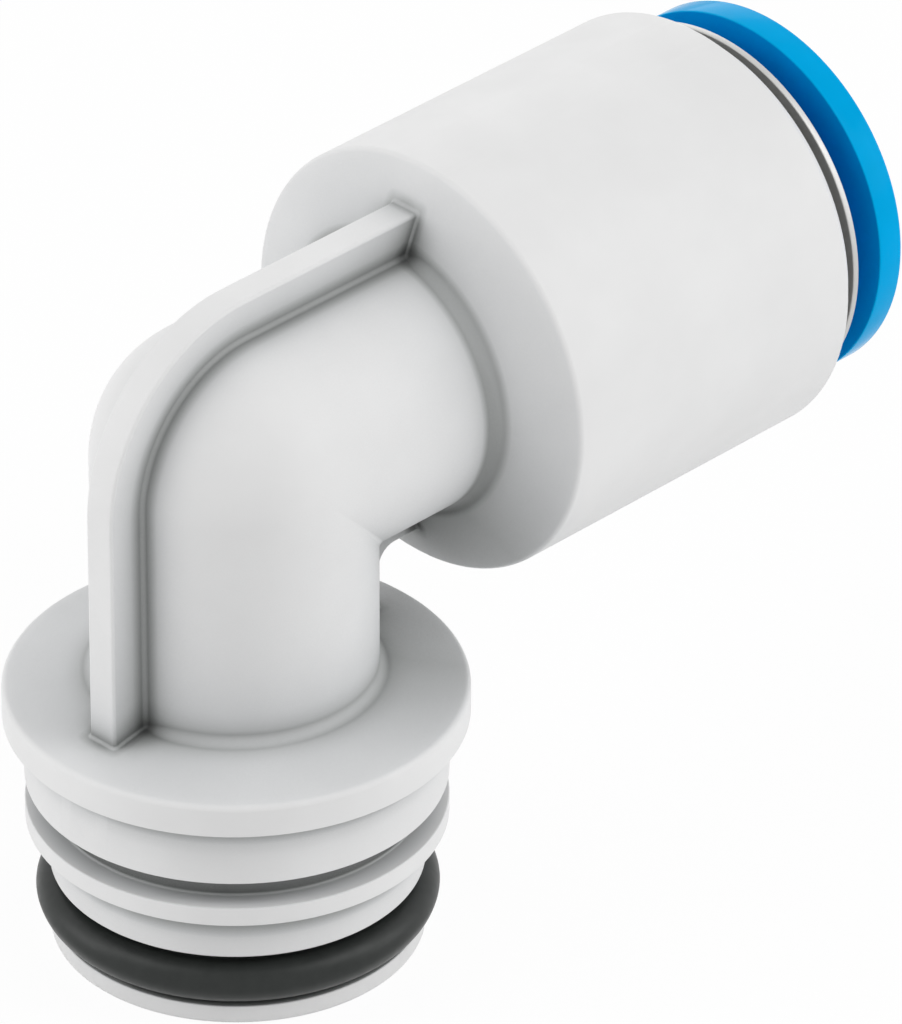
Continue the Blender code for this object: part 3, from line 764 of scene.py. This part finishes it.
def noise(tree, scale, detail=PLAIN_DETAIL, stretch=EVEN):
    """Noise in the object's own metres: scale is in features for each metre."""
    coordinates = add_node(tree, "ShaderNodeTexCoord").outputs["Object"]
    mapping = add_node(tree, "ShaderNodeMapping", {"Vector": coordinates, "Scale": stretch})
    inputs = {"Vector": mapping.outputs["Vector"], "Scale": scale, "Detail": detail}
    return add_node(tree, "ShaderNodeTexNoise", inputs).outputs[0]


def spread(tree, value, low, high, start=NOISE_LOW, end=NOISE_HIGH):
    """Map a value from start to end onto low to high; unless given, the middle of a noise."""
    inputs = {"Value": value, "From Min": start, "From Max": end, "To Min": low, "To Max": high}
    return add_node(tree, "ShaderNodeMapRange", inputs).outputs["Result"]


def colour_ramp(tree, value, stops):
    """Colour that runs through stops of (position, tone) as a value goes from 0 to 1."""
    ramp = add_node(tree, "ShaderNodeValToRGB", {"Fac": value})
    elements = ramp.color_ramp.elements
    for position, tone in stops[1:-1]:
        elements.new(position)
    for element, (position, tone) in zip(elements, stops):
        element.position = position
        element.color = (*tone, 1)
    return ramp.outputs["Color"]


def two_tones(tree, value, tones):
    """Colour between two tones, over the middle of a noise or of another value from 0 to 1."""
    return colour_ramp(tree, value, tuple(zip((NOISE_LOW, NOISE_HIGH), tones)))


def bump(tree, height, strength, depth):
    """Normal of a surface that rises with a height from 0 to 1."""
    inputs = {"Height": height, "Strength": strength, "Distance": depth}
    return add_node(tree, "ShaderNodeBump", inputs).outputs["Normal"]


def skin(tree, finish, detail=GRAIN_DETAIL, stretch=EVEN):
    """Roughness and normal of a finish, by the names of the shader's sockets."""
    gloss = spread(tree, noise(tree, finish.sheen), *finish.roughness)
    grain = noise(tree, finish.grain, detail, stretch)
    return {"Roughness": gloss, "Normal": bump(tree, grain, finish.strength, finish.depth)}


def scale_colour(tree, colour, share):
    """A colour times a share."""
    inputs = {0: colour, "Scale": share}
    return add_node(tree, "ShaderNodeVectorMath", inputs, operation="SCALE").outputs["Vector"]


def openness(tree, reach, local):
    """How far a point stands open within reach, 0 to 1; local counts only the piece itself."""
    node = add_node(tree, "ShaderNodeAmbientOcclusion", {"Distance": reach}, samples=OPENNESS_SAMPLES,
                    only_local=local)
    return node.outputs["AO"]


def painted_crease_share(tree, reach, darkest, start=0.0, end=1.0, local=True):
    """Share of light that painted shade in inner corners leaves, less where a corner is tighter."""
    return spread(tree, openness(tree, reach, local), darkest, 1.0, start, end)


def vector_math(tree, operation, *values):
    """Result of a vector operation: a number for a length or a dot product, else a vector."""
    node = add_node(tree, "ShaderNodeVectorMath", dict(enumerate(values)), operation=operation)
    return node.outputs["Value" if operation in ("LENGTH", "DOT_PRODUCT") else "Vector"]


def number_math(tree, operation, *values):
    """Result of an operation on numbers."""
    return add_node(tree, "ShaderNodeMath", dict(enumerate(values)), operation=operation).outputs[0]


def distance_from(tree, first, second):
    """Length of two offsets at right angles."""
    flat = add_node(tree, "ShaderNodeCombineXYZ", {"X": first, "Y": second}).outputs["Vector"]
    return vector_math(tree, "LENGTH", flat)


def from_point(tree, place, point):
    """Distance from a point."""
    return vector_math(tree, "LENGTH", vector_math(tree, "SUBTRACT", place, point))


def from_ring(tree, place, centre, axis, radius, squash=1.0):
    """Distance from a ring about an axis; squash makes steps along the axis count for more."""
    offset = vector_math(tree, "SUBTRACT", place, centre)
    along = number_math(tree, "MULTIPLY", vector_math(tree, "DOT_PRODUCT", offset, axis), squash)
    across = vector_math(tree, "LENGTH", vector_math(tree, "CROSS_PRODUCT", offset, axis))
    return distance_from(tree, along, number_math(tree, "SUBTRACT", across, radius))


def from_upright_ring(tree, place, height, radius, squash=1.0):
    """Distance from a ring about the spigot's axis."""
    return from_ring(tree, place, (0.0, 0.0, height), SPIGOT_AXIS, radius, squash)


def from_rib_root(tree, place):
    """Distance from the corner between the stem and the rib along the outside of the bend."""
    offset = vector_math(tree, "SUBTRACT", place, ELBOW_CENTRE)
    outward = vector_math(tree, "MULTIPLY", offset, (-1.0, 0.0, 1.0))
    reach = vector_math(tree, "LENGTH", vector_math(tree, "MAXIMUM", outward, ORIGIN))
    aside = number_math(tree, "ABSOLUTE", vector_math(tree, "DOT_PRODUCT", offset, SIDE_AXIS))
    half = RIB_THICKNESS / 2
    height = number_math(tree, "SUBTRACT", reach, math.sqrt(STEM_RADIUS ** 2 - half ** 2))
    return distance_from(tree, height, number_math(tree, "SUBTRACT", aside, half))


def from_rib_end(tree, place, centre, swap_axes, surface):
    """Distance from the line where the rib's end meets a crowned face, on the face and on the rib."""
    offset = vector_math(tree, "SUBTRACT", place, centre)
    parts = add_node(tree, "ShaderNodeSeparateXYZ", {"Vector": offset}).outputs
    across, along = (parts["Z"], parts["X"]) if swap_axes else (parts["X"], parts["Z"])
    flat = add_node(tree, "ShaderNodeCombineXYZ", {"X": across, "Y": parts["Y"]}).outputs["Vector"]
    slope = (surface(0.0) - surface(STEM_RADIUS)) / STEM_RADIUS
    fall = number_math(tree, "MULTIPLY", vector_math(tree, "LENGTH", flat), slope)
    height = number_math(tree, "ADD", number_math(tree, "SUBTRACT", along, surface(0.0)), fall)
    corner = (RIB_REACH, RIB_THICKNESS / 2, 0.0)
    spare = vector_math(tree, "SUBTRACT", vector_math(tree, "ABSOLUTE", flat), corner)
    aside = vector_math(tree, "LENGTH", vector_math(tree, "MAXIMUM", spare, ORIGIN))
    return distance_from(tree, aside, height)


def in_bores(tree, place):
    """1 on the walls of the bores and of the socket's inside, else 0."""
    offset = vector_math(tree, "SUBTRACT", place, ELBOW_CENTRE)
    below_bend = vector_math(tree, "MAXIMUM", offset, (-FAR, -FAR, 0.0))
    beside_bend = vector_math(tree, "MINIMUM", offset, (0.0, FAR, FAR))
    from_bend = number_math(tree, "MINIMUM", vector_math(tree, "LENGTH", below_bend),
                            vector_math(tree, "LENGTH", beside_bend))
    past_bore = number_math(tree, "SUBTRACT", from_bend, SPIGOT_BORE_RADIUS + BORE_MARGIN)
    from_socket_axis = vector_math(tree, "LENGTH", vector_math(tree, "MULTIPLY", offset, (0.0, 1.0, 1.0)))
    past_chamber = number_math(tree, "SUBTRACT", from_socket_axis, CHAMBER_RADIUS + BORE_MARGIN)
    along_socket = vector_math(tree, "DOT_PRODUCT", offset, SOCKET_AXIS)
    short_of_stop = number_math(tree, "SUBTRACT", TUBE_STOP_X - BORE_MARGIN, along_socket)
    past_socket = number_math(tree, "MAXIMUM", past_chamber, short_of_stop)
    return number_math(tree, "LESS_THAN", number_math(tree, "MINIMUM", past_bore, past_socket), 0.0)


def rib_shade(tree, place):
    """Distances and painted shade along the outer rib, at both ribs' ends, and beside the inner rib's end."""
    pocket_reach = RIB_REACH - RIB_POCKET_INSET
    pocket_x = socket_back(pocket_reach) - RIB_POCKET_DROP
    pocket = (pocket_x, RIB_THICKNESS / 2, AXIS_HEIGHT - pocket_reach)
    either_side = vector_math(tree, "ABSOLUTE", place)
    gaps = [(from_rib_root(tree, place), RIB_SHADE)]
    gaps += [(from_rib_end(tree, place, ORIGIN, False, flange_top), RIB_END_SHADE)]
    gaps += [(from_rib_end(tree, place, ELBOW_CENTRE, True, socket_back), RIB_END_SHADE)]
    gaps += [(from_point(tree, either_side, pocket), RIB_POCKET_SHADE)]
    return gaps


def back_shade(tree, place):
    """Distances and painted shade round the stem on the socket's back, with more of it low down."""
    back_x = socket_back(STEM_RADIUS)
    middle_x = SOCKET_BACK_REACH - SOCKET_BACK_CROWN / 2
    whole = (back_x, 0.0, AXIS_HEIGHT)
    lower = (back_x, 0.0, AXIS_HEIGHT - LOW_BACK_SHIFT)
    under = (middle_x, 0.0, AXIS_HEIGHT - STEM_RADIUS)
    gaps = [(from_ring(tree, place, whole, SOCKET_AXIS, STEM_RADIUS), BACK_SHADE)]
    gaps += [(from_ring(tree, place, lower, SOCKET_AXIS, STEM_RADIUS - LOW_BACK_SHIFT), LOW_BACK_SHADE)]
    gaps += [(from_ring(tree, place, under, SOCKET_AXIS, 0.0, LOW_FACE_SQUASH), LOW_FACE_SHADE)]
    return gaps


def spigot_shade(tree, place):
    """Distances and painted shade round the stem on the flange, and on the spigot's steps and grooves."""
    clip_middle = (CLIP_GROOVE_TOP + CLIP_GROOVE_BOTTOM) / 2
    rings = ((flange_top(STEM_RADIUS), STEM_RADIUS, FOOT_SHADE),
             (-LEDGE_DROP, SPIGOT_RADIUS - LEDGE_INSET, SHOULDER_SHADE),
             (COLLAR_BOTTOM - LEDGE_DROP, NECK_RADIUS - LEDGE_INSET, NECK_SHADE),
             (clip_middle, CLIP_GROOVE_RADIUS - CLIP_GROOVE_INSET, CLIP_GROOVE_SHADE),
             (SEAL_GROOVE_BOTTOM, SEAL_GROOVE_RADIUS, SEAL_GROOVE_SHADE))
    # Painted shade in rings under the flange and the collar, round the stem's foot and in the grooves
    return [(from_upright_ring(tree, place, height, radius), painted_shade) for height, radius, painted_shade in rings]


def painted_body_share(tree):
    """Share of light that the painted shade in the body's corners and grooves leaves, with painted light in
    places.
    """
    place = add_node(tree, "ShaderNodeTexCoord").outputs["Object"]
    notch = (SOCKET_BACK_REACH, 0.0, FLANGE_RIM_HEIGHT)
    # Painted shade: darker where a point stands less open, and near the body's edges, steps and grooves
    share = number_math(tree, "MULTIPLY", painted_crease_share(tree, *WIDE_CREASE), painted_crease_share(tree, *TIGHT_CREASE))
    gaps = rib_shade(tree, place) + back_shade(tree, place) + spigot_shade(tree, place)
    # Painted light lifts the deep notch under the socket
    gaps += [(from_point(tree, place, notch), NOTCH_LIGHT)]
    for gap, (start, end, nearest) in gaps:
        share = number_math(tree, "MULTIPLY", share, spread(tree, gap, nearest, 1.0, start, end))
    # Painted light: the painted shade is lifted off the clip groove's lower wall
    clip_edge = from_upright_ring(tree, place, CLIP_GROOVE_BOTTOM, SPIGOT_RADIUS, CLIP_WALL_LIGHT_SQUASH)
    lit_clip_wall = spread(tree, clip_edge, 1.0, 0.0, 0.0, CLIP_WALL_LIGHT)
    # The bores' walls keep at least a set share of light under the painted shade
    inside = spread(tree, in_bores(tree, place), 0.0, BORE_SHARE, 0.0, 1.0)
    return number_math(tree, "MAXIMUM", number_math(tree, "MAXIMUM", share, lit_clip_wall), inside)


def connect(tree, shader, **links):
    """Link values to the shader's sockets, named with _ for a space."""
    for socket, value in links.items():
        tree.links.new(value, shader.inputs[socket.replace("_", " ")])


def make_white_plastic():
    """Satin moulded plastic: faint mottling, uneven gloss, fine spark-eroded grain, painted shade in corners.
    """
    material, tree, shader = new_material("white_plastic", IOR=1.5, Specular_IOR_Level=0.4)
    colour = two_tones(tree, noise(tree, WHITE_FINISH.mottle), WHITE_TONES)
    # Painted shade: the colour is darker and a little cooler where less light is left
    painted_shade = colour_ramp(tree, painted_body_share(tree), SHADE_TONES)
    shaded_colour = vector_math(tree, "MULTIPLY", colour, painted_shade)
    connect(tree, shader, Base_Color=shaded_colour, **skin(tree, WHITE_FINISH))
    return material


def make_blue_plastic():
    """Glossier moulded plastic in clear blue, with painted shade where it is closed in."""
    material, tree, shader = new_material("blue_plastic", IOR=1.48, Specular_IOR_Level=0.03,
                                          Specular_Tint=(0.4, 0.8, 1.0, 1.0))
    # Painted shade: the blue is deeper where the ring is closed in
    shaded_blue = two_tones(tree, openness(tree, BLUE_SHADE_REACH, False), BLUE_SHADE_TONES)
    colour = scale_colour(tree, shaded_blue, spread(tree, noise(tree, BLUE_FINISH.mottle), *BLUE_MOTTLE))
    connect(tree, shader, Base_Color=colour, **skin(tree, BLUE_FINISH))
    return material


def make_rubber(name, tones):
    """Nitrile rubber: near black, with a thin grey bloom and a slightly pitted skin."""
    material, tree, shader = new_material(name, IOR=1.52, Specular_IOR_Level=0.22)
    colour = two_tones(tree, noise(tree, RUBBER_FINISH.mottle, BLOOM_DETAIL), tones)
    connect(tree, shader, Base_Color=colour, **skin(tree, RUBBER_FINISH))
    return material


def make_support_plastic():
    """Natural acetal, a little warmer and glossier than the body."""
    material, tree, shader = new_material("support_plastic", IOR=1.48)
    colour = two_tones(tree, noise(tree, SUPPORT_FINISH.mottle), SUPPORT_TONES)
    connect(tree, shader, Base_Color=colour, **skin(tree, SUPPORT_FINISH))
    return material


def make_metal(name, tones, tool_lines, metallic):
    """Plated or stamped metal with fine tool lines, and painted shade in corners."""
    material, tree, shader = new_material(name, Metallic=metallic)
    colour = two_tones(tree, noise(tree, METAL_FINISH.mottle), tones)
    # Painted shade: the metal is darker in its corners
    crease_shaded = scale_colour(tree, colour, painted_crease_share(tree, *METAL_CREASE, local=False))
    connect(tree, shader, Base_Color=crease_shaded, **skin(tree, METAL_FINISH, TOOL_LINE_DETAIL, tool_lines))
    return material


# Studio

def camera_axes():
    """The camera's right, up and back directions."""
    out = math.cos(CAMERA_ELEVATION)
    sine = math.sin(CAMERA_AZIMUTH)
    cosine = math.cos(CAMERA_AZIMUTH)
    back = Vector((sine * out, -cosine * out, math.sin(CAMERA_ELEVATION)))
    flat = Vector((cosine, sine, 0))
    roll = Matrix.Rotation(CAMERA_ROLL, 3, back)
    right = roll @ flat
    return right, back.cross(right), back


def make_camera():
    """Camera at the place found for the photograph."""
    right, up, back = camera_axes()
    data = bpy.data.cameras.new("camera")
    data.sensor_width = SENSOR_MM
    data.lens = FOCAL_PIXELS * SENSOR_MM / IMAGE_HEIGHT_PIXELS
    data.clip_start = NEAR_CLIP
    data.clip_end = FAR_CLIP
    camera = add_object("camera", data)
    pose = Matrix((right, up, back)).transposed().to_4x4()
    pose.translation = CAMERA_TARGET + back * CAMERA_DISTANCE
    camera.matrix_world = pose
    bpy.context.scene.camera = camera


def seen_directly(tree):
    """1 for rays that show the background itself: from the camera, or mirrored or bent by the object."""
    path = add_node(tree, "ShaderNodeLightPath")
    total = path.outputs["Is Camera Ray"]
    for kind in ("Is Glossy Ray", "Is Transmission Ray"):
        total = number_math(tree, "MAXIMUM", total, path.outputs[kind])
    return total


def make_world(strength):
    """Even soft light all round, shown as plain white."""
    world = bpy.data.worlds.new("studio")
    bpy.context.scene.world = world
    world.use_nodes = True
    tree = world.node_tree
    level_of_light = spread(tree, seen_directly(tree), strength, 1.0, 0.0, 1.0)
    background = tree.nodes["Background"]
    background.inputs["Color"].default_value = (1, 1, 1, 1)
    tree.links.new(level_of_light, background.inputs["Strength"])


def make_floor():
    """Pale floor that shows almost white and keeps the fitting's shadow."""
    bm = bmesh.new()
    bmesh.ops.create_grid(bm, x_segments=FLOOR_CELLS, y_segments=FLOOR_CELLS, size=FLOOR_SIZE / 2)
    mesh = bpy.data.meshes.new("floor")
    bm.to_mesh(mesh)
    bm.free()
    floor = add_object("floor", mesh)
    floor.location.z = SPIGOT_BOTTOM - FLOOR_DROP
    material = bpy.data.materials.new("floor")
    material.use_nodes = True
    tree = material.node_tree
    tree.nodes.remove(tree.nodes["Principled BSDF"])
    seen = seen_directly(tree)
    tone = two_tones(tree, noise(tree, FLOOR_MOTTLE), FLOOR_TONES)
    pale = scale_colour(tree, tone, spread(tree, seen, FLOOR_BOUNCE, 1.0, 0.0, 1.0))
    matt = add_node(tree, "ShaderNodeBsdfDiffuse", {"Color": pale}).outputs["BSDF"]
    glow = {"Color": (1, 1, 1, 1), "Strength": 1.0}
    white = add_node(tree, "ShaderNodeEmission", glow).outputs["Emission"]
    share = spread(tree, seen, 0.0, FLOOR_GLOW, 0.0, 1.0)
    shown = add_node(tree, "ShaderNodeMixShader", {0: share, 1: matt, 2: white}).outputs["Shader"]
    tree.links.new(shown, tree.nodes["Material Output"].inputs["Surface"])
    mesh.materials.append(material)


def make_lamp(name, direction, brightness):
    """Square soft lamp aimed at the fitting; brightness is what its face would show."""
    data = bpy.data.lights.new(name, "AREA")
    data.shape = "SQUARE"
    data.size = LAMP_SIZE
    data.energy = brightness * math.pi * LAMP_SIZE ** 2
    lamp = add_object(name, data)
    lamp.visible_camera = False
    lamp.location = CAMERA_TARGET + direction.normalized() * LAMP_DISTANCE
    lamp.rotation_mode = "QUATERNION"
    lamp.rotation_quaternion = direction.to_track_quat("Z", "Y")


def make_light():
    """The even sky and the lamps, which stand round the part as the camera sees it."""
    right, _, back = camera_axes()
    out = Vector((back.x, back.y, 0)).normalized()
    top = Vector((0, 0, 1))
    make_world(SKY_LEVEL)
    for name, (to_right, to_top, to_camera, brightness) in LAMPS.items():
        make_lamp(name, right * to_right + top * to_top + out * to_camera, brightness)


def main():
    """Every piece with its material, then the camera, the floor and the light."""
    bpy.context.scene.view_settings.view_transform = "Standard"
    make_elbow_moulding(make_white_plastic())
    make_spigot_seal(make_rubber("spigot_rubber", SPIGOT_RUBBER_TONES))
    make_tube_seal(make_rubber("seal_rubber", SEAL_RUBBER_TONES))
    make_seal_backing_ring(make_support_plastic())
    make_turned_sleeve(make_metal("plated_brass", BRASS_TONES, TURNED_LINES, BRASS_METALLIC))
    make_release_button(make_blue_plastic())
    steel = make_metal("segment_steel", STEEL_TONES, STAMPED_LINES, STEEL_METALLIC)
    for index in range(SEGMENT_COUNT):
        make_grip_segment(index, steel)
    make_camera()
    make_floor()
    make_light()


main()
